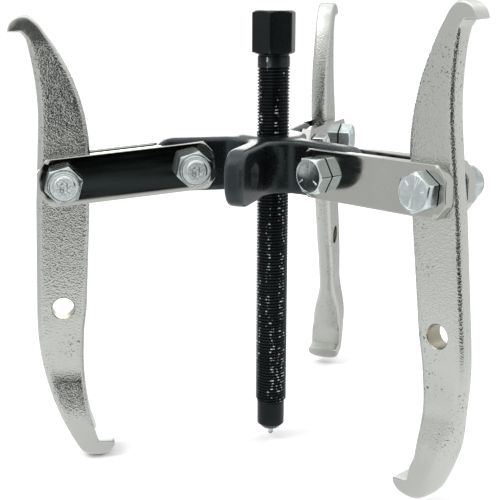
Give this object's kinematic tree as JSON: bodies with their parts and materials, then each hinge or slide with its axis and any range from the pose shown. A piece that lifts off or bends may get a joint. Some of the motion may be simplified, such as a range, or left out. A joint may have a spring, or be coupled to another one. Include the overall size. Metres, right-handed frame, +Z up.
{
  "type": "gear puller",
  "caption": "Mechanical gear puller: forged yoke on a forcing screw, with reversible hooked jaws hung between pairs of flat straps on pivot bolts.",
  "frame": {"origin": "tip of the centre point, on the axis of the forcing screw", "axes": "+Z up the forcing screw's axis, -Y along the unused fourth lug, +Y along the back arm"},
  "size_m": [0.1974, 0.1877, 0.2037],
  "materials": {
    "yoke_black": "black oxide forging",
    "screw_black": "black oxide, machined",
    "point_steel": "hardened bright steel",
    "strap_plate": "smooth bright plating",
    "jaw_plate": "satin plating on a pebbly forging",
    "bolt_zinc": "bright zinc plating",
    "nut_zinc": "zinc plating",
    "nylon": "grey-white nylon"
  },
  "bodies": {
    "yoke": {"yoke": "yoke_black"},
    "centre_point": {"centre_point": "point_steel"},
    "forcing_screw": {"forcing_screw": "screw_black"},
    "left_arm": {"left_strap_front": "strap_plate", "left_strap_rear": "strap_plate", "left_lug_bolt": "bolt_zinc", "left_jaw_bolt": "bolt_zinc", "left_lug_nut": "nut_zinc", "left_jaw_nut": "nut_zinc", "left_nylon_rings": "nylon"},
    "left_jaw": {"left_jaw": "jaw_plate"},
    "right_arm": {"right_strap_front": "strap_plate", "right_strap_rear": "strap_plate", "right_lug_bolt": "bolt_zinc", "right_jaw_bolt": "bolt_zinc", "right_lug_nut": "nut_zinc", "right_jaw_nut": "nut_zinc", "right_nylon_rings": "nylon"},
    "right_jaw": {"right_jaw": "jaw_plate"},
    "back_arm": {"back_strap_right": "strap_plate", "back_strap_left": "strap_plate", "back_lug_bolt": "bolt_zinc", "back_jaw_bolt": "bolt_zinc", "back_lug_nut": "nut_zinc", "back_jaw_nut": "nut_zinc", "back_nylon_rings": "nylon"},
    "back_jaw": {"back_jaw": "jaw_plate"}
  },
  "joints": [
    {"name": "screw_feed", "type": "slide", "parent": "yoke", "child": "centre_point", "axis": [0, 0, 1], "range_m": [-0.0265, 0.093]},
    {"name": "screw_turn", "type": "hinge", "parent": "centre_point", "child": "forcing_screw", "pos_m": [0, 0, 0], "axis": [0, 0, 1], "range_deg": [-6840, 23760]},
    {"name": "left_arm_swing", "type": "hinge", "parent": "yoke", "child": "left_arm", "pos_m": [-0.03248, -0.01875, 0.1316], "axis": [-0.5, 0.866, 0], "range_deg": [-25, 50]},
    {"name": "left_jaw_swing", "type": "hinge", "parent": "left_arm", "child": "left_jaw", "pos_m": [-0.07991, -0.04614, 0.12666], "axis": [0.5, -0.866, 0], "range_deg": [-52, 25]},
    {"name": "right_arm_swing", "type": "hinge", "parent": "yoke", "child": "right_arm", "pos_m": [0.03248, -0.01875, 0.1316], "axis": [-0.5, -0.866, 0], "range_deg": [-25, 50]},
    {"name": "right_jaw_swing", "type": "hinge", "parent": "right_arm", "child": "right_jaw", "pos_m": [0.0801, -0.04624, 0.1328], "axis": [0.5, 0.866, 0], "range_deg": [-52, 25]},
    {"name": "back_arm_swing", "type": "hinge", "parent": "yoke", "child": "back_arm", "pos_m": [0, 0.0375, 0.1316], "axis": [1, 0, 0], "range_deg": [-25, 50]},
    {"name": "back_jaw_swing", "type": "hinge", "parent": "back_arm", "child": "back_jaw", "pos_m": [0, 0.09246, 0.12959], "axis": [-1, 0, 0], "range_deg": [-52, 25]}
  ],
  "couplings": [
    {"joint": "screw_turn", "follows": "screw_feed", "rad_per_m": 4453}
  ]
}
